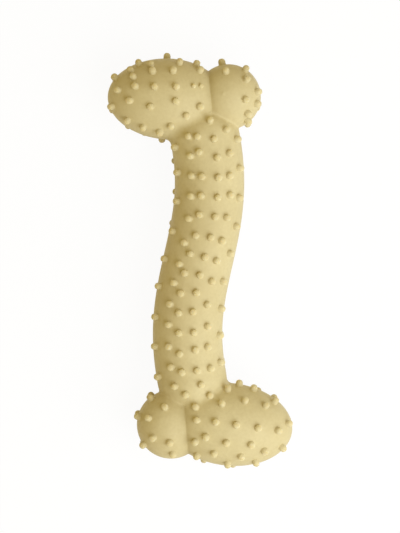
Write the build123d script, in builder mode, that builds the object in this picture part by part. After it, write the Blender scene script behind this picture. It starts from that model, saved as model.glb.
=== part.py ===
from build123d import *
from dataclasses import dataclass
from math import cos, pi, radians, sin, sqrt
import os

os.makedirs("parts", exist_ok=True)

# A moulded rubber chew bone lying flat on the floor: a shaft that sways like an S between two pairs
# of knuckles, one large and one small at each end, all set with small round-topped nubs.
# X runs across the bone, Y along it and Z up. Lengths are in millimetres, angles in degrees.

# Shaft
pair_spacing = 117.0  # from the middle of one knuckle pair to the middle of the other
shaft_radius = 12.5
shaft_sway = 3.95  # how far the middle line swings to either side
sway_length = 109.0  # from one swing to the next on the same side
sway_crossing = 1.25  # where along the bone the middle line crosses over
shaft_aside = -0.3  # where across the bone it crosses over
upper_dome_height = 11.5  # rounded end of the shaft
upper_dome_shortfall = 3.0  # how far that end stays short of the middle of its knuckle pair
lower_dome_height = 13.0
lower_dome_shortfall = 3.5
sway_steps = 16

# Knuckles: aside is the distance of a middle from the middle line of the bone, along or across the pair
upper_large_aside = 10.9
upper_large_outer_reach = 22.1
upper_large_inner_reach = 20.2
upper_large_radius = 14.5
upper_large_tilt = -3.0
upper_small_aside = 10.4
upper_small_beyond = 0.8
upper_small_radius = 11.7
lower_large_aside = 10.8
lower_large_outer_reach = 22.7
lower_large_inner_reach = 23.5
lower_large_radius = 14.8
lower_large_tilt = -6.3
lower_small_aside = 10.2
lower_small_radius = 12.3
small_tilt = 2.0

# Nubs
nub_radius = 1.2
nub_height = 2.2
small_nub_radius = 0.8
small_nub_height = 1.3
seat_depth = 0.3  # how deep the flat foot of a nub is let into the surface
seat_overrun = 1.0  # how far the cutter of a seat stands clear of the surface

# Places of the nubs on the shaft, row by row: the share of the half length from the middle towards the
# upper pair, and the turn about the shaft from the top towards the right.
top_row_shares = (
    ((0.725, -58), (0.551, -59), (0.347, -59), (0.147, -57), (-0.026, -62.5), (-0.184, -64), (-0.35, -62),
     (-0.506, -62), (-0.67, -62)),
    ((0.77, -27), (0.647, -29), (0.518, -29), (0.385, -29.5), (0.241, -28.5), (0.09, -28), (-0.038, -28),
     (-0.15, -30.5), (-0.271, -31.5), (-0.386, -31), (-0.508, -30.5), (-0.623, -30), (-0.734, -29.5)),
    ((0.758, -12.5), (0.664, -13.5), (0.511, -12), (0.391, -12.5), (0.274, -12), (0.146, -11.5),
     (0.034, -14), (-0.083, -16.5), (-0.202, -16), (-0.315, -15), (-0.431, -13), (-0.552, -13),
     (-0.659, -13), (-0.791, -14)),
    ((0.84, 13), (0.727, 13), (0.618, 14), (0.503, 14), (0.388, 14), (0.275, 13.5), (0.153, 12.5),
     (0.033, 10), (-0.076, 8.5), (-0.183, 8.5), (-0.30, 7.5), (-0.427, 11), (-0.535, 12.5),
     (-0.664, 11.5), (-0.75, 14)),
    ((0.772, 36.5), (0.639, 36), (0.515, 33.5), (0.408, 35), (0.282, 33), (0.148, 32), (0.028, 30),
     (-0.097, 30), (-0.246, 29), (-0.386, 33.5), (-0.523, 33.5), (-0.663, 34.5)),
    ((0.713, 57), (0.557, 55.5), (0.398, 55), (0.243, 56), (0.087, 54), (-0.085, 52.5), (-0.262, 60),
     (-0.451, 61), (-0.638, 58)),
)
# The rows of the underside are those of the top seen through the parting plane, but for the outer left one.
under_left_row_shares = ((0.652, -117), (0.427, -117), (0.205, -118), (0.04, -126), (-0.12, -128),
                         (-0.28, -128), (-0.45, -127), (-0.61, -125))

# Places on the knuckles: the share of the reach towards the outer tip, and the turn about the knuckle's
# axis from the top towards the upper end. Lone nubs have no twin on the underside. Two nubs of the upper
# large knuckle, and their twins, are smaller than the rest.
upper_large_shares = (
    (0.50, 60), (0.27, 35), (-0.06, 36), (-0.16, 55), (-0.45, 66), (-0.52, 50), (0.86, 52), (0.57, 29.5),
    (0.53, 12), (0.22, 10), (-0.134, 11), (0.80, 8), (0.605, -12.5), (0.265, -18.5), (-0.14, -9),
    (-0.555, -16), (0.89, -38), (-0.33, -29), (0.635, -52), (0.375, -54), (-0.07, -45), (0.31, 49),
    (0.62, 46),
)
upper_large_small_nub_shares = ((-0.43, 16), (-0.557, 18.5))
upper_large_lone_shares = ((0.068, 90), (0.11, -58), (0.09, -113))
upper_small_shares = (
    (-0.06, 42), (0.52, 59), (0.53, 28), (0.485, -13), (0.84, 6), (0.82, -30), (0.54, -43), (0.54, -64),
)
upper_small_lone_shares = ((-0.16, 84),)
lower_large_shares = (
    (-0.54, 27), (-0.50, 6.5), (-0.35, 45), (-0.16, 33), (-0.09, 59), (-0.22, 7), (0.09, 6), (0.43, 5),
    (0.74, 4), (0.89, 27), (-0.34, -16.5), (-0.49, -28.5), (-0.03, -20), (0.35, -20.5), (0.57, -34),
    (-0.19, -40), (-0.44, -57), (0.22, -41), (0.46, -58), (0.84, -42), (0.65, 63),
    (0.185, 41.5), (0.51, 42.5),
)
lower_large_lone_shares = ((0.08, 78), (0.31, 73), (0.40, 121), (0.03, -60), (0.13, -108), (-0.32, -107))
lower_small_shares = (
    (0.53, 65), (0.14, 34.5), (0.89, 39), (0.60, 20), (0.49, -19), (0.77, -52), (0.03, -25),
)
lower_small_lone_shares = ((-0.04, -49), (-0.20, -124))

half_length = pair_spacing / 2
upper_dome_start = half_length - upper_dome_height - upper_dome_shortfall
lower_dome_start = lower_dome_height + lower_dome_shortfall - half_length
up = Vector(0, 0, 1)


@dataclass
class Knuckle:
    """An egg of revolution whose axis lies in the parting plane; its outer tip is on the given side."""

    name: str
    side: int
    middle: Vector
    outer_reach: float
    inner_reach: float
    radius: float
    tilt: float
    shares: tuple
    lone_shares: tuple

    def outward(self):
        return Vector(cos(radians(self.tilt)), sin(radians(self.tilt))) * self.side

    def across(self):
        return Vector(-sin(radians(self.tilt)), cos(radians(self.tilt)))


upper_large = Knuckle("upper_large_knuckle", -1, Vector(-upper_large_aside, half_length),
                      upper_large_outer_reach, upper_large_inner_reach, upper_large_radius,
                      upper_large_tilt, upper_large_shares, upper_large_lone_shares)
upper_small = Knuckle("upper_small_knuckle", 1, Vector(upper_small_aside, half_length + upper_small_beyond),
                      upper_small_radius, upper_small_radius, upper_small_radius,
                      small_tilt, upper_small_shares, upper_small_lone_shares)
lower_large = Knuckle("lower_large_knuckle", 1, Vector(lower_large_aside, -half_length),
                      lower_large_outer_reach, lower_large_inner_reach, lower_large_radius,
                      lower_large_tilt, lower_large_shares, lower_large_lone_shares)
lower_small = Knuckle("lower_small_knuckle", -1, Vector(-lower_small_aside, -half_length),
                      lower_small_radius, lower_small_radius, lower_small_radius,
                      small_tilt, lower_small_shares, lower_small_lone_shares)


def sway_point(along):
    """The point of the shaft's middle line at a distance along the bone."""
    return Vector(shaft_aside + shaft_sway * sin(2 * pi * (along - sway_crossing) / sway_length), along)


def sway_heading(along):
    """The direction of the shaft's middle line there."""
    wave = 2 * pi / sway_length
    return Vector(shaft_sway * wave * cos(wave * (along - sway_crossing)), 1).normalized()


def knuckle_foot(knuckle, share, turn):
    """The plane on a knuckle's surface that a nub stands on."""
    reach = knuckle.outer_reach if share > 0 else knuckle.inner_reach
    girth = sqrt(1 - share * share)
    around = up * cos(radians(turn)) + knuckle.across() * sin(radians(turn))
    foot = knuckle.middle + knuckle.outward() * (share * reach) + around * (girth * knuckle.radius)
    return Plane(foot, z_dir=knuckle.outward() * (share / reach) + around * (girth / knuckle.radius))


def shaft_foot(share, turn):
    """The plane on the shaft's surface, or on its rounded end, that a nub stands on."""
    along = share * half_length
    straight = max(lower_dome_start, min(upper_dome_start, along))
    heading = sway_heading(straight)
    dome_height = upper_dome_height if along > 0 else lower_dome_height
    dome_share = (along - straight) / dome_height
    girth = sqrt(1 - dome_share * dome_share)
    around = up * cos(radians(turn)) + heading.cross(up) * sin(radians(turn))
    foot = sway_point(straight) + heading * (along - straight) + around * (girth * shaft_radius)
    return Plane(foot, z_dir=heading * (dome_share / dome_height) + around * (girth / shaft_radius))


def under(shares):
    """The same places seen through the parting plane."""
    return tuple((share, 180 - turn) for share, turn in shares)


def lowest_point(foot):
    """How far the round top of a nub reaches below the parting plane."""
    return nub_radius - (foot.origin + foot.z_dir * (nub_height - nub_radius)).Z


knuckles = (upper_large, upper_small, lower_large, lower_small)
nub_feet = {}
for number, shares in enumerate(top_row_shares, 1):
    nub_feet[f"shaft_nubs_top_row_{number}"] = [shaft_foot(*place) for place in shares]
for number, shares in enumerate((under_left_row_shares, *map(under, top_row_shares[1:])), 1):
    nub_feet[f"shaft_nubs_under_row_{number}"] = [shaft_foot(*place) for place in shares]
for knuckle in knuckles:
    for side, shares in (("top", knuckle.shares + knuckle.lone_shares), ("under", under(knuckle.shares))):
        nub_feet[f"{knuckle.name}_nubs_{side}"] = [knuckle_foot(knuckle, *place) for place in shares]
small_nub_feet = {}
for side, shares in (("top", upper_large_small_nub_shares), ("under", under(upper_large_small_nub_shares))):
    feet = [knuckle_foot(upper_large, *place) for place in shares]
    small_nub_feet[f"{upper_large.name}_nubs_{side}"] = feet

# The bone rests on its lowest nubs, so the parting plane stands this high above the floor.
parting_height = max(lowest_point(foot) for feet in nub_feet.values() for foot in feet)
parting = Location((0, 0, parting_height))


def nub_places(feet_by_group, start_of_name):
    """The locations of all nubs whose group's name starts so, above the floor."""
    return [parting * Location(foot)
            for name, feet in feet_by_group.items() if name.startswith(start_of_name) for foot in feet]


def knuckle_plane(knuckle):
    """The plane through a knuckle's middle that carries its outline, with X along its axis."""
    return Plane(knuckle.middle + up * parting_height, x_dir=knuckle.outward(), z_dir=up)


def knuckle_axis(knuckle):
    """The axis that a knuckle is turned about."""
    plane = knuckle_plane(knuckle)
    return Axis(plane.origin, plane.x_dir)


def knuckle_outline(knuckle):
    """Half the outline of an egg: two quarter ellipses that meet where it is widest."""
    with BuildSketch(knuckle_plane(knuckle)) as outline:
        with BuildLine():
            EllipticalCenterArc((0, 0), knuckle.outer_reach, knuckle.radius, 0, arc_size=90)
            EllipticalCenterArc((0, 0), knuckle.inner_reach, knuckle.radius, 90, arc_size=90)
            Line((-knuckle.inner_reach, 0), (knuckle.outer_reach, 0))
        make_face()
    return outline.sketch


def seats(start_of_name):
    """The flat-floored seats of those nubs, cut in the builder that is open."""
    for feet_by_group, radius in ((nub_feet, nub_radius), (small_nub_feet, small_nub_radius)):
        places = nub_places(feet_by_group, start_of_name)
        if places:
            with Locations(*places):
                with Locations((0, 0, -seat_depth)):
                    Cylinder(radius, seat_depth + seat_overrun,
                             align=(Align.CENTER, Align.CENTER, Align.MIN), mode=Mode.SUBTRACT)


def nub_outline(radius, height):
    """Half the outline of a nub: a round peg with a half ball on top, standing on its flat foot."""
    with BuildSketch(Plane.XZ) as outline:
        with BuildLine():
            Polyline((0, height), (0, -seat_depth), (radius, -seat_depth), (radius, height - radius))
            CenterArc((0, height - radius), radius, 0, 90)
        make_face()
    return outline.sketch


with BuildPart() as nub:
    revolve(nub_outline(nub_radius, nub_height), Axis.Z)

with BuildPart() as small_nub:
    revolve(nub_outline(small_nub_radius, small_nub_height), Axis.Z)

# The large knuckles are whole.
with BuildPart() as upper_large_body:
    revolve(knuckle_outline(upper_large), knuckle_axis(upper_large))
    seats(upper_large.name)
upper_large_body.part.label = upper_large.name
export_step(upper_large_body.part, "parts/upper_large_knuckle.step")

with BuildPart() as lower_large_body:
    revolve(knuckle_outline(lower_large), knuckle_axis(lower_large))
    seats(lower_large.name)
lower_large_body.part.label = lower_large.name
export_step(lower_large_body.part, "parts/lower_large_knuckle.step")

# The small knuckles are hollowed where the large ones press into them; that edge is the crease.
with BuildPart() as upper_small_body:
    revolve(knuckle_outline(upper_small), knuckle_axis(upper_small))
    revolve(knuckle_outline(upper_large), knuckle_axis(upper_large), mode=Mode.SUBTRACT)
    seats(upper_small.name)
upper_small_body.part.label = upper_small.name
export_step(upper_small_body.part, "parts/upper_small_knuckle.step")

with BuildPart() as lower_small_body:
    revolve(knuckle_outline(lower_small), knuckle_axis(lower_small))
    revolve(knuckle_outline(lower_large), knuckle_axis(lower_large), mode=Mode.SUBTRACT)
    seats(lower_small.name)
lower_small_body.part.label = lower_small.name
export_step(lower_small_body.part, "parts/lower_small_knuckle.step")

# The shaft: a round bar along the swaying middle line, domed at both ends, cut away by the knuckles
# and by the nubs of theirs that stand close beside it.
with BuildPart() as shaft:
    bar_length = upper_dome_start - lower_dome_start
    stations = [lower_dome_start + bar_length * step / sway_steps for step in range(sway_steps + 1)]
    with BuildLine() as middle_line:
        Spline(*[sway_point(along) + up * parting_height for along in stations],
               tangents=(sway_heading(lower_dome_start), sway_heading(upper_dome_start)))
    with BuildSketch(Plane(middle_line.line @ 0, z_dir=middle_line.line % 0)):
        Circle(shaft_radius)
    sweep(path=middle_line.line)
    for end, along, height in ((1, upper_dome_start, upper_dome_height),
                               (-1, lower_dome_start, lower_dome_height)):
        dome_base = sway_point(along) + up * parting_height
        dome_plane = Plane(dome_base, x_dir=sway_heading(along) * end, z_dir=up)
        with BuildSketch(dome_plane):
            with BuildLine():
                EllipticalCenterArc((0, 0), height, shaft_radius, 0, arc_size=90)
                Polyline((0, shaft_radius), (0, 0), (height, 0))
            make_face()
        revolve(axis=Axis(dome_plane.origin, dome_plane.x_dir))
    for knuckle in knuckles:
        revolve(knuckle_outline(knuckle), knuckle_axis(knuckle), mode=Mode.SUBTRACT)
    seats("shaft")
    with Locations(*nub_places(nub_feet, lower_large.name)):
        add(nub.part, mode=Mode.SUBTRACT)
shaft.part.label = "shaft"
export_step(shaft.part, "parts/shaft.step")

# The nubs, each on its own foot, in rows on the shaft and in groups on the knuckles.
for name in nub_feet:
    with BuildPart() as nub_group:
        with Locations(*nub_places(nub_feet, name)):
            add(nub.part)
        if name in small_nub_feet:
            with Locations(*nub_places(small_nub_feet, name)):
                add(small_nub.part)
    nub_group.part.label = name
    export_step(nub_group.part, f"parts/{name}.step")
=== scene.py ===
import math

import bpy
import numpy as np
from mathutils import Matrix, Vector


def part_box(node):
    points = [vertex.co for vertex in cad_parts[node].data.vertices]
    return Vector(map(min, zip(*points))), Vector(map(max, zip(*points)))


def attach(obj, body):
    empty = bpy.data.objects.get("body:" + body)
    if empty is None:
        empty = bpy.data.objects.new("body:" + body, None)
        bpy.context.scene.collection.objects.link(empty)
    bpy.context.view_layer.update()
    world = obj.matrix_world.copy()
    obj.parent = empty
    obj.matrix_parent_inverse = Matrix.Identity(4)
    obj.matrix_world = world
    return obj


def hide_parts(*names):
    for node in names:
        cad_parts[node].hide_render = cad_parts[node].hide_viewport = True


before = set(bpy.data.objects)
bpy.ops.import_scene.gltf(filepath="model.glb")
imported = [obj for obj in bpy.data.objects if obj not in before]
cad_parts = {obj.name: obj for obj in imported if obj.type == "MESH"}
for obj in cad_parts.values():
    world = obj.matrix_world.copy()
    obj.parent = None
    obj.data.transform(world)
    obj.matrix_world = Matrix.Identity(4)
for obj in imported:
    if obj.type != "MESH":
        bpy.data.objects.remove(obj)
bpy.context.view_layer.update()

# Sizes of the bone in millimetres, as its solids have them. X runs across it, Y along it and Z up.
MM = 0.001
PARTING = sum(corner.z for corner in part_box("shaft")) / 2 / MM
UP = np.array([0.0, 0.0, 1.0])
SHAFT_RADIUS = 12.5
SHAFT_SWAY = 3.95
SWAY_LENGTH = 109.0
SWAY_CROSSING = 1.25
SHAFT_ASIDE = -0.3
UPPER_START, UPPER_DOME = 44.0, 11.5
LOWER_START, LOWER_DOME = -42.0, 13.0

# How far the rubber runs softly from one form into the next, and over what difference in distance to
# the two knuckles of a pair the first softness goes over into the second.
LARGE_TO_SHAFT = 2.4
SMALL_TO_SHAFT = 1.0
LARGE_TO_SMALL = 0.3
SOFTNESS_CHANGE = 8

# How far the edge of a skin goes on under its neighbour, and how deep.
TUCK_LENGTH, TUCK_DEPTH = 0.5, 0.04

# Outline of a nub, from under the skin to the tip on the axis: distance from the axis and height above
# the skin. The few nubs whose solid reaches less far from its middle are smaller. All differ a little in
# width and height. The shading of a nub leans by a share towards its axis, as light that soaks into soft
# rubber evens out small forms. Its painted light goes from painted shade at the foot, below zero, to a
# painted highlight on the head, at one.
NUB_OUTLINE = np.array([(1.36, -0.25), (1.28, 0.25), (1.28, 1.05), (1.15, 1.55), (0.86, 1.94), (0.45, 2.14),
                        (0, 2.20)])
SMALL_REACH = 1.4
SMALL_NUB = np.array([0.67, 0.59])
NUB_WIDTH_SPREAD, NUB_HEIGHT_SPREAD = 0.03, 0.05
NUB_LEAN = 0.3
NUB_TONE_HEIGHTS, NUB_TONES = (0.3, 1.0, 1.6), (-0.22, 0, 1)
NUB_SIDES = 9

# How far from the crease between two knuckles the rubber is painted darker, as painted shade.
CREASE_REACH = 1.2

# The one low pip on the upper small knuckle: its place along the axis, its height and its half width.
PIP_SHARE, PIP_HEIGHT, PIP_WIDTH = -0.18, 0.2, 0.45

# Colours of the rubber. The last two are painted light: a painted highlight on the heads of nubs, and
# painted shade at the feet of nubs and in the creases.
DEEP_CLOUD, PALE_CLOUD = (0.68, 0.583, 0.335, 1), (0.76, 0.667, 0.405, 1)
SPECKLE = (0.61, 0.51, 0.27, 1)
NUB_HEAD_HIGHLIGHT = (0.88, 0.79, 0.52, 1)
SHADED_RUBBER = (0.45, 0.36, 0.16, 1)


class Egg:
    """A knuckle: two half ellipsoids of revolution on one axis in the parting plane."""

    def __init__(self, x, y, outer, inner, radius, tilt, side):
        slant = math.radians(tilt)
        self.middle = np.array([x, y, PARTING])
        self.axis = side * np.array([math.cos(slant), math.sin(slant), 0.0])
        self.across = np.array([-math.sin(slant), math.cos(slant), 0.0])
        self.outer, self.inner, self.radius = outer, inner, radius

    def distance(self, p):
        """Nearly the distance to the egg's surface, less than zero inside."""
        q = p - self.middle
        along = q @ self.axis
        girth = np.linalg.norm(q - along[..., None] * self.axis, axis=-1)
        return ellipse_distance(along, girth, np.where(along > 0, self.outer, self.inner), self.radius)

    def point(self, v, turn):
        """Point and outward direction at a turn about the axis and at v, from 0 at the outer tip to pi
        at the inner one: the cosine of v goes along the axis, its sine around it."""
        share, girth = np.cos(v), np.sin(v)
        reach = np.where(share > 0, self.outer, self.inner)
        around = np.cos(turn)[..., None] * UP + np.sin(turn)[..., None] * self.across
        p = self.middle + (share * reach)[..., None] * self.axis + (girth * self.radius)[..., None] * around
        return p, unit((share / reach)[..., None] * self.axis + (girth / self.radius)[..., None] * around)


def unit(v):
    """Vectors at length one."""
    return v / np.linalg.norm(v, axis=-1, keepdims=True)


def ellipse_distance(along, girth, reach, radius):
    """Nearly the distance to an ellipse: its level, divided by how fast the level grows."""
    level = np.hypot(along / reach, girth / radius)
    slope = np.maximum(np.hypot(along / reach ** 2, girth / radius ** 2), 1e-9)
    return level * (level - 1) / slope


def sway(y):
    """Point and direction of the shaft's middle line, a sine wave along the bone."""
    wave = 2 * math.pi / SWAY_LENGTH
    phase = wave * (y - SWAY_CROSSING)
    point = np.stack([SHAFT_ASIDE + SHAFT_SWAY * np.sin(phase), y, np.full_like(y, PARTING)], -1)
    return point, unit(np.stack([SHAFT_SWAY * wave * np.cos(phase), np.ones_like(y), np.zeros_like(y)], -1))


def shaft_distance(p):
    """Nearly the distance to the swaying round shaft and its domed ends."""
    y = np.clip(p[..., 1], LOWER_START, UPPER_START)
    for _ in range(3):
        middle, heading = sway(y)
        y = np.clip(y + np.sum((p - middle) * heading, -1), LOWER_START, UPPER_START)
    middle, heading = sway(y)
    along = np.sum((p - middle) * heading, -1)
    girth = np.linalg.norm(p - middle - along[..., None] * heading, axis=-1)
    return ellipse_distance(along, girth, np.where(along > 0, UPPER_DOME, LOWER_DOME), SHAFT_RADIUS)


def shaft_point(v, turn):
    """Point and outward direction at a turn about the shaft and at v, from 0 in the middle to 1 or -1
    where a dome starts and 2 or -2 at its top: a round bar along the sway, then a quarter of an ellipse."""
    y = np.where(v > 0, UPPER_START, -LOWER_START) * np.clip(v, -1, 1)
    dome = np.where(v > 0, UPPER_DOME, LOWER_DOME)
    rise = np.sign(v) * np.clip(np.abs(v) - 1, 0, 1) * math.pi / 2
    middle, heading = sway(y)
    around = np.cos(turn)[..., None] * UP + np.sin(turn)[..., None] * np.cross(heading, UP)
    p = middle + (dome * np.sin(rise))[..., None] * heading
    p = p + (SHAFT_RADIUS * np.cos(rise))[..., None] * around
    n = (np.sin(rise) / dome)[..., None] * heading + (np.cos(rise) / SHAFT_RADIUS)[..., None] * around
    return p, unit(n)


upper_large = Egg(x=-10.9, y=58.5, outer=22.1, inner=20.2, radius=14.5, tilt=-3.0, side=-1)
upper_small = Egg(x=10.4, y=59.3, outer=11.7, inner=11.7, radius=11.7, tilt=2.0, side=1)
lower_large = Egg(x=10.8, y=-58.5, outer=22.7, inner=23.5, radius=14.8, tilt=-6.3, side=1)
lower_small = Egg(x=-10.2, y=-58.5, outer=12.3, inner=12.3, radius=12.3, tilt=2.0, side=-1)
upper_hub = np.array([2.5, 53.0, PARTING])
lower_hub = np.array([-4.5, -52.0, PARTING])
pip_place, _ = upper_small.point(np.arccos(PIP_SHARE), np.array(0.0))


def soft_min(a, b, width):
    """The smaller of two distances, rounded over where they differ by less than width."""
    near = np.maximum(width - np.abs(a - b), 0) / width
    return np.minimum(a, b) - near * near * width / 4


def bone(p):
    """Nearly the distance to the whole bone without its nubs: shaft and knuckles run into one another,
    the large knuckles more softly than the small ones, and a bell-shaped pip is added."""
    d = shaft_distance(p)
    for large, small in ((upper_large, upper_small), (lower_large, lower_small)):
        a, b = large.distance(p), small.distance(p)
        side = np.clip(0.5 + (b - a) / SOFTNESS_CHANGE, 0, 1)
        width = SMALL_TO_SHAFT + (LARGE_TO_SHAFT - SMALL_TO_SHAFT) * side * side * (3 - 2 * side)
        d = soft_min(d, soft_min(a, b, LARGE_TO_SMALL), width)
    return d - PIP_HEIGHT * np.exp(-np.sum((p - pip_place) ** 2, -1) / (2 * PIP_WIDTH ** 2))


def normals(p, step=0.02):
    """The direction in which the bone's distance grows fastest."""
    return unit(np.stack([bone(p + step * e) - bone(p - step * e) for e in np.eye(3)], -1))


def settle(p, direction, step=0.01):
    """Points moved along their directions on to the bone's surface, by Newton's rule."""
    for _ in range(8):
        here = bone(p)
        slope = (bone(p + step * direction) - here) / step
        p = p - np.clip(here / np.maximum(slope, 0.2), -1, 1)[..., None] * direction
    return p


def way_out(point, own, others, turns, v_start, v_end):
    """For each turn, the v between v_start and v_end at which another form first comes nearer than this
    one: looked for on a row of values, then halved in on."""
    def lead(v, turn):
        p = settle(*point(v, turn))
        return np.min([other(p) for other in others], 0) - own(p)

    v = np.linspace(v_start, v_end, 160)
    ahead = lead(*np.broadcast_arrays(v[None, :], turns[:, None])) > 0
    first = np.argmin(ahead, 1)
    low, high = v[np.maximum(first - 1, 0)], v[first]
    for _ in range(24):
        middle = (low + high) / 2
        inside = lead(middle, turns) > 0
        low, high = np.where(inside, middle, low), np.where(inside, high, middle)
    return low


def mesh_object(name, points, face_blocks, point_normals=None):
    """A smooth-shaded mesh from points in millimetres and arrays of faces, with its own normals if given."""
    mesh = bpy.data.meshes.new(name)
    mesh.from_pydata((points * MM).tolist(), [], [face for block in face_blocks for face in block.tolist()])
    mesh.polygons.foreach_set("use_smooth", np.ones(len(mesh.polygons), bool))
    mesh.update()
    if point_normals is not None:
        mesh.normals_split_custom_set_from_vertices(point_normals.tolist())
    piece = bpy.data.objects.new(name, mesh)
    bpy.context.scene.collection.objects.link(piece)
    return piece


def ring_faces(rings, count):
    """Four-sided faces between neighbouring rings of count points each, closed all round."""
    k, j = np.meshgrid(np.arange(rings - 1), np.arange(count), indexing="ij")
    after = (j + 1) % count
    quads = np.stack([k * count + j, k * count + after, (k + 1) * count + after, (k + 1) * count + j], -1)
    return quads.reshape(-1, 4)


def fan_faces(ring_start, count, tip):
    """Three-sided faces from a ring to one point beyond it."""
    j = np.arange(count)
    return np.stack([ring_start + j, ring_start + (j + 1) % count, np.full(count, tip)], -1)


def closed_faces(rings, count):
    """Faces of a stack of rings, closed by a point before the first ring and one beyond the last, which
    follow the rings in that order."""
    first = fan_faces(0, count, rings * count)[:, ::-1]
    last = fan_faces((rings - 1) * count, count, rings * count + 1)
    return [ring_faces(rings, count), first, last]


def tuck(rim, before):
    """A ring that goes on from the rim under the neighbour's skin, along the surface's own slope there."""
    n = normals(rim)
    go = rim - before
    go = go - np.sum(go * n, -1, keepdims=True) * n
    return rim + TUCK_LENGTH * unit(go) - TUCK_DEPTH * n


def ease(t):
    """From 0 to 1, closer together near 1."""
    return 0.45 * t + 0.55 * np.sin(t * math.pi / 2)


def knuckle_skin(name, egg, others, hub, turn_count, ring_count):
    """A knuckle's skin: the egg's surface settled on the bone, from its outer tip to the valleys, and
    closed inside. Its attribute crease is 1 at its fellow knuckle, the last of the others, and fades
    exponentially away from it; it sets how much painted shade the crease gets."""
    turns = np.arange(turn_count) * 2 * math.pi / turn_count
    last = way_out(egg.point, egg.distance, others, turns, 0.05, math.pi - 0.05)
    v = ease(np.linspace(0.02, 1, ring_count))[:, None] * last[None, :]
    p = settle(*egg.point(*np.broadcast_arrays(v, turns[None, :])))
    tip = settle(*egg.point(np.zeros(1), np.zeros(1)))
    points = np.concatenate([p.reshape(-1, 3), tuck(p[-1], p[-2]), tip, hub[None, :]])
    blocks = closed_faces(ring_count + 1, turn_count)
    if np.dot(np.cross(egg.axis, UP), egg.across) > 0:
        blocks = [block[:, ::-1] for block in blocks]
    piece = mesh_object(name, points, blocks, normals(points))
    crease = piece.data.attributes.new("crease", "FLOAT", "POINT")
    crease.data.foreach_set("value", np.exp(-np.maximum(others[-1](points), 0) / CREASE_REACH))
    return piece


def shaft_skin(name, others, turn_count, ring_count):
    """The shaft's skin: its own surface settled on the bone, from valley to valley, and closed inside."""
    turns = np.arange(turn_count) * 2 * math.pi / turn_count
    high = way_out(shaft_point, shaft_distance, others, turns, 0.2, 1.95)
    low = way_out(shaft_point, shaft_distance, others, turns, -0.2, -1.95)
    t = ease(np.linspace(0, 1, ring_count))
    v = np.concatenate([t[:0:-1, None] * low, t[:, None] * high])
    p = settle(*shaft_point(*np.broadcast_arrays(v, turns[None, :])))
    points = np.concatenate([tuck(p[0], p[1]), p.reshape(-1, 3), tuck(p[-1], p[-2]), [lower_hub, upper_hub]])
    return mesh_object(name, points, closed_faces(len(v) + 2, turn_count), normals(points))


def nubs_of(node):
    """The middle of every nub of a CAD node and how far it reaches from there: its loose islands, found by
    spreading the lowest number along edges."""
    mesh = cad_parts[node].data
    co = np.empty(len(mesh.vertices) * 3, np.float32)
    mesh.vertices.foreach_get("co", co)
    edges = np.empty(len(mesh.edges) * 2, np.int32)
    mesh.edges.foreach_get("vertices", edges)
    spots, index = np.unique(np.round(co.reshape(-1, 3) / MM, 3), axis=0, return_inverse=True)
    a, b = index.reshape(-1)[edges.reshape(-1, 2)].T
    island = np.arange(len(spots))
    spread = None
    while not np.array_equal(spread, island):
        spread = island.copy()
        low = np.minimum(island[a], island[b])
        np.minimum.at(island, a, low)
        np.minimum.at(island, b, low)
    groups = [spots[island == number] for number in np.unique(island)]
    centres = np.array([(group.min(0) + group.max(0)) / 2 for group in groups])
    reaches = [np.linalg.norm(group - centre, axis=1).max() for group, centre in zip(groups, centres)]
    return centres, np.array(reaches)


def nub_skins(name, centres, reaches, outline, sides):
    """Nubs: one outline turned about the bone's own normal at each place, no two of quite the same size."""
    axis = normals(centres)
    foot = settle(centres, axis)
    aside = unit(np.cross(axis, np.array([0.31, 0.92, 0.23])))
    beside = np.cross(axis, aside)
    turn = (np.arange(sides) * 2 * math.pi / sides)[:, None]
    ring = np.cos(turn) * aside[:, None, :] + np.sin(turn) * beside[:, None, :]
    wobble = np.sin(foot @ np.array([12.9, 78.2, 37.7]))
    size = np.where(reaches[:, None] < SMALL_REACH, SMALL_NUB, 1)
    size = size * (1 + np.stack([NUB_WIDTH_SPREAD * wobble, NUB_HEIGHT_SPREAD * np.cos(5 * wobble)], -1))
    wide = size[:, 0][:, None, None, None] * outline[:-1, 0][:, None, None]
    tall = size[:, 1][:, None, None, None] * outline[:, 1][:, None, None]
    along = tall * axis[:, None, None, :]
    p = foot[:, None, None, :] + wide * ring[:, None, :, :] + along[:, :-1]
    slope = np.gradient(outline, axis=0)[:-1]
    facing = unit(unit(np.stack([slope[:, 1], -slope[:, 0]], -1)) * (1 - NUB_LEAN) + (0, NUB_LEAN))
    n = facing[:, 0, None, None] * ring[:, None, :, :] + facing[:, 1, None, None] * axis[:, None, None, :]

    def stacked(rings, base, tip):
        rings = rings.reshape(len(foot), -1, 3)
        return np.concatenate([rings, base[:, None], tip[:, None]], 1).reshape(-1, 3)

    points = stacked(p, foot + along[:, 0, 0], foot + along[:, -1, 0])
    start = (np.arange(len(foot)) * (len(points) // len(foot)))[:, None, None]
    blocks = [(start + block).reshape(-1, block.shape[1]) for block in closed_faces(len(outline) - 1, sides)]
    piece = mesh_object(name, points, blocks, stacked(n, -axis, axis))
    # The head attribute carries painted shade at the foot and a painted highlight on the head, and the
    # head's share of soaked-in light.
    tone = np.interp(outline[:, 1], NUB_TONE_HEIGHTS, NUB_TONES)
    head = piece.data.attributes.new("head", "FLOAT", "POINT")
    head.data.foreach_set("value", np.tile([*np.repeat(tone[:-1], sides), tone[0], tone[-1]], len(foot)))
    return piece


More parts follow.
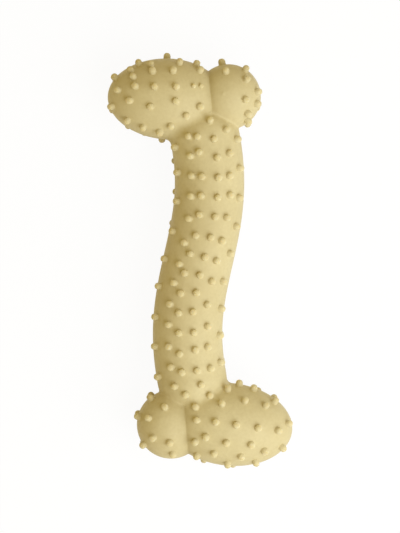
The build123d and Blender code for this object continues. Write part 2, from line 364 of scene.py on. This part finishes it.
def rubber():
    """Cream-yellow moulded rubber: cloudy colour, darker speckle, a fine grain and a sheen that varies. The
    heads of nubs carry a painted highlight and let light soak in; their feet and the creases are painted
    darker, as painted shade."""
    material = bpy.data.materials.new("rubber")
    material.use_nodes = True
    nodes, links = material.node_tree.nodes, material.node_tree.links
    shader = nodes["Principled BSDF"]
    place = nodes.new("ShaderNodeTexCoord").outputs["Object"]

    def noise(scale, detail, roughness=0.5):
        node = nodes.new("ShaderNodeTexNoise")
        node.inputs["Scale"].default_value = scale
        node.inputs["Detail"].default_value = detail
        node.inputs["Roughness"].default_value = roughness
        links.new(place, node.inputs["Vector"])
        return node.outputs["Fac"]

    def spread(value, low, high):
        node = nodes.new("ShaderNodeMapRange")
        node.inputs["From Min"].default_value = 0.3
        node.inputs["From Max"].default_value = 0.7
        node.inputs["To Min"].default_value = low
        node.inputs["To Max"].default_value = high
        links.new(value, node.inputs["Value"])
        return node.outputs["Result"]

    def mixed(share, first, second):
        node = nodes.new("ShaderNodeMix")
        node.data_type = "RGBA"
        links.new(share, node.inputs[0])
        for socket, colour in ((node.inputs[6], first), (node.inputs[7], second)):
            if isinstance(colour, bpy.types.NodeSocket):
                links.new(colour, socket)
            else:
                socket.default_value = colour
        return node.outputs[2]

    def bump(height, strength, distance):
        node = nodes.new("ShaderNodeBump")
        node.inputs["Strength"].default_value = strength
        node.inputs["Distance"].default_value = distance
        links.new(height, node.inputs["Height"])
        return node

    def share_of(attribute, factor):
        source = nodes.new("ShaderNodeAttribute")
        source.attribute_name = attribute
        node = nodes.new("ShaderNodeMath")
        node.operation = "MULTIPLY"
        node.use_clamp = True
        node.inputs[1].default_value = factor
        links.new(source.outputs["Fac"], node.inputs[0])
        return node.outputs[0]

    cloud = mixed(spread(noise(45, 4), 0, 1), DEEP_CLOUD, PALE_CLOUD)
    colour = mixed(spread(noise(900, 3), 0, 0.35), cloud, SPECKLE)
    # Painted highlight on the heads of nubs, then painted shade at their feet.
    colour = mixed(share_of("head", 0.25), colour, NUB_HEAD_HIGHLIGHT)
    colour = mixed(share_of("head", -1), colour, SHADED_RUBBER)
    # Painted shade along the creases between knuckles.
    colour = mixed(share_of("crease", 0.5), colour, SHADED_RUBBER)
    links.new(colour, shader.inputs["Base Color"])
    links.new(spread(noise(160, 4), 0.52, 0.68), shader.inputs["Roughness"])
    shader.inputs["Specular IOR Level"].default_value = 0.25
    links.new(share_of("head", 0.85), shader.inputs["Subsurface Weight"])
    shader.inputs["Subsurface Radius"].default_value = (1.0, 1.0, 1.0)
    shader.inputs["Subsurface Scale"].default_value = MM
    grain = bump(noise(2200, 4, 0.6), 0.25, 0.2 * MM)
    wave = bump(noise(170, 3), 0.35, 0.6 * MM)
    links.new(grain.outputs["Normal"], wave.inputs["Normal"])
    links.new(wave.outputs["Normal"], shader.inputs["Normal"])
    return material


skin = rubber()
eggs = (upper_large, upper_small, lower_large, lower_small)
pieces = {"shaft": shaft_skin("shaft_skin", [egg.distance for egg in eggs], 176, 110)}
for end, hub, large, small in (("upper", upper_hub, upper_large, upper_small),
                               ("lower", lower_hub, lower_large, lower_small)):
    pieces[end + "_large_knuckle"] = knuckle_skin(
        end + "_large_skin", large, [shaft_distance, small.distance], hub, 144, 96)
    pieces[end + "_small_knuckle"] = knuckle_skin(
        end + "_small_skin", small, [shaft_distance, large.distance], hub, 160, 80)
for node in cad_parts:
    if "nubs" in node:
        pieces[node] = nub_skins(node + "_skin", *nubs_of(node), NUB_OUTLINE, NUB_SIDES)
for node, piece in pieces.items():
    piece.data.materials.append(skin)
    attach(piece, "root")
    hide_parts(node)


def looked_at(tree):
    """A socket that is 1 where the camera, a mirror or glass looks, and 0 for light on its way."""
    ray = tree.nodes.new("ShaderNodeLightPath")
    value = ray.outputs["Is Camera Ray"]
    for kind in ("Is Glossy Ray", "Is Transmission Ray"):
        larger = tree.nodes.new("ShaderNodeMath")
        larger.operation = "MAXIMUM"
        tree.links.new(value, larger.inputs[0])
        tree.links.new(ray.outputs[kind], larger.inputs[1])
        value = larger.outputs[0]
    return value


def either(tree, share, first, second, output):
    """Two shaders mixed by a share and led to an output."""
    mix = tree.nodes.new("ShaderNodeMixShader")
    tree.links.new(share, mix.inputs[0])
    tree.links.new(first.outputs[0], mix.inputs[1])
    tree.links.new(second.outputs[0], mix.inputs[2])
    tree.links.new(mix.outputs[0], tree.nodes[output].inputs["Surface"])


def paper():
    """White paper: where it is looked at it is nearly plain white, with a faint shadow left in it."""
    material = bpy.data.materials.new("paper")
    material.use_nodes = True
    tree = material.node_tree
    shader = tree.nodes["Principled BSDF"]
    shader.inputs["Base Color"].default_value = (0.9, 0.9, 0.9, 1)
    shader.inputs["Roughness"].default_value = 0.9
    white = tree.nodes.new("ShaderNodeEmission")
    white.inputs["Color"].default_value = (1, 1, 1, 1)
    white.inputs["Strength"].default_value = 1.02
    share = tree.nodes.new("ShaderNodeMath")
    share.operation = "MULTIPLY"
    share.inputs[1].default_value = 0.92
    tree.links.new(looked_at(tree), share.inputs[0])
    either(tree, share.outputs[0], shader, white, "Material Output")
    return material


FLOOR_HALF = 1500
corners = np.array([(-1, -1, 0), (1, -1, 0), (1, 1, 0), (-1, 1, 0)]) * FLOOR_HALF
floor = mesh_object("floor", corners, [np.arange(4)[None, :]])
floor.data.materials.append(paper())


def lamp(name, place, target, size, watts, colour):
    """A square soft lamp at a place in millimetres, turned to a target."""
    data = bpy.data.lights.new(name, "AREA")
    data.size, data.energy, data.color = size * MM, watts, colour
    holder = bpy.data.objects.new(name, data)
    bpy.context.scene.collection.objects.link(holder)
    place = np.array(place, float)
    holder.location = place * MM
    down = unit(place - np.array(target, float))
    side = unit(np.cross((0.0, 1.0, 0.01), down))
    turn = np.stack([side, np.cross(down, side), down], 1)
    holder.rotation_euler = [math.atan2(turn[2, 1], turn[2, 2]), -math.asin(turn[2, 0]),
                             math.atan2(turn[1, 0], turn[0, 0])]


lamp("key", place=(322, -226, 468), target=(0, 0, 15), size=600, watts=3.68, colour=(0.81, 0.89, 1.0))

world = bpy.data.worlds.new("room")
bpy.context.scene.world = world
world.use_nodes = True
room = world.node_tree.nodes["Background"]
room.inputs["Color"].default_value = (1.0, 0.78, 0.27, 1)
room.inputs["Strength"].default_value = 0.45
backdrop = world.node_tree.nodes.new("ShaderNodeBackground")
backdrop.inputs["Color"].default_value = (1, 1, 1, 1)
either(world.node_tree, looked_at(world.node_tree), room, backdrop, "World Output")

camera_data = bpy.data.cameras.new("camera")
camera_data.lens = 100
camera_data.sensor_width = 36
camera = bpy.data.objects.new("camera", camera_data)
CAMERA_X, CAMERA_Y, CAMERA_RISE = 0.22, -1.73, 533.0
camera.location = np.array([CAMERA_X, CAMERA_Y, PARTING + CAMERA_RISE]) * MM
bpy.context.scene.collection.objects.link(camera)
bpy.context.scene.camera = camera
bpy.context.scene.view_settings.view_transform = "Standard"
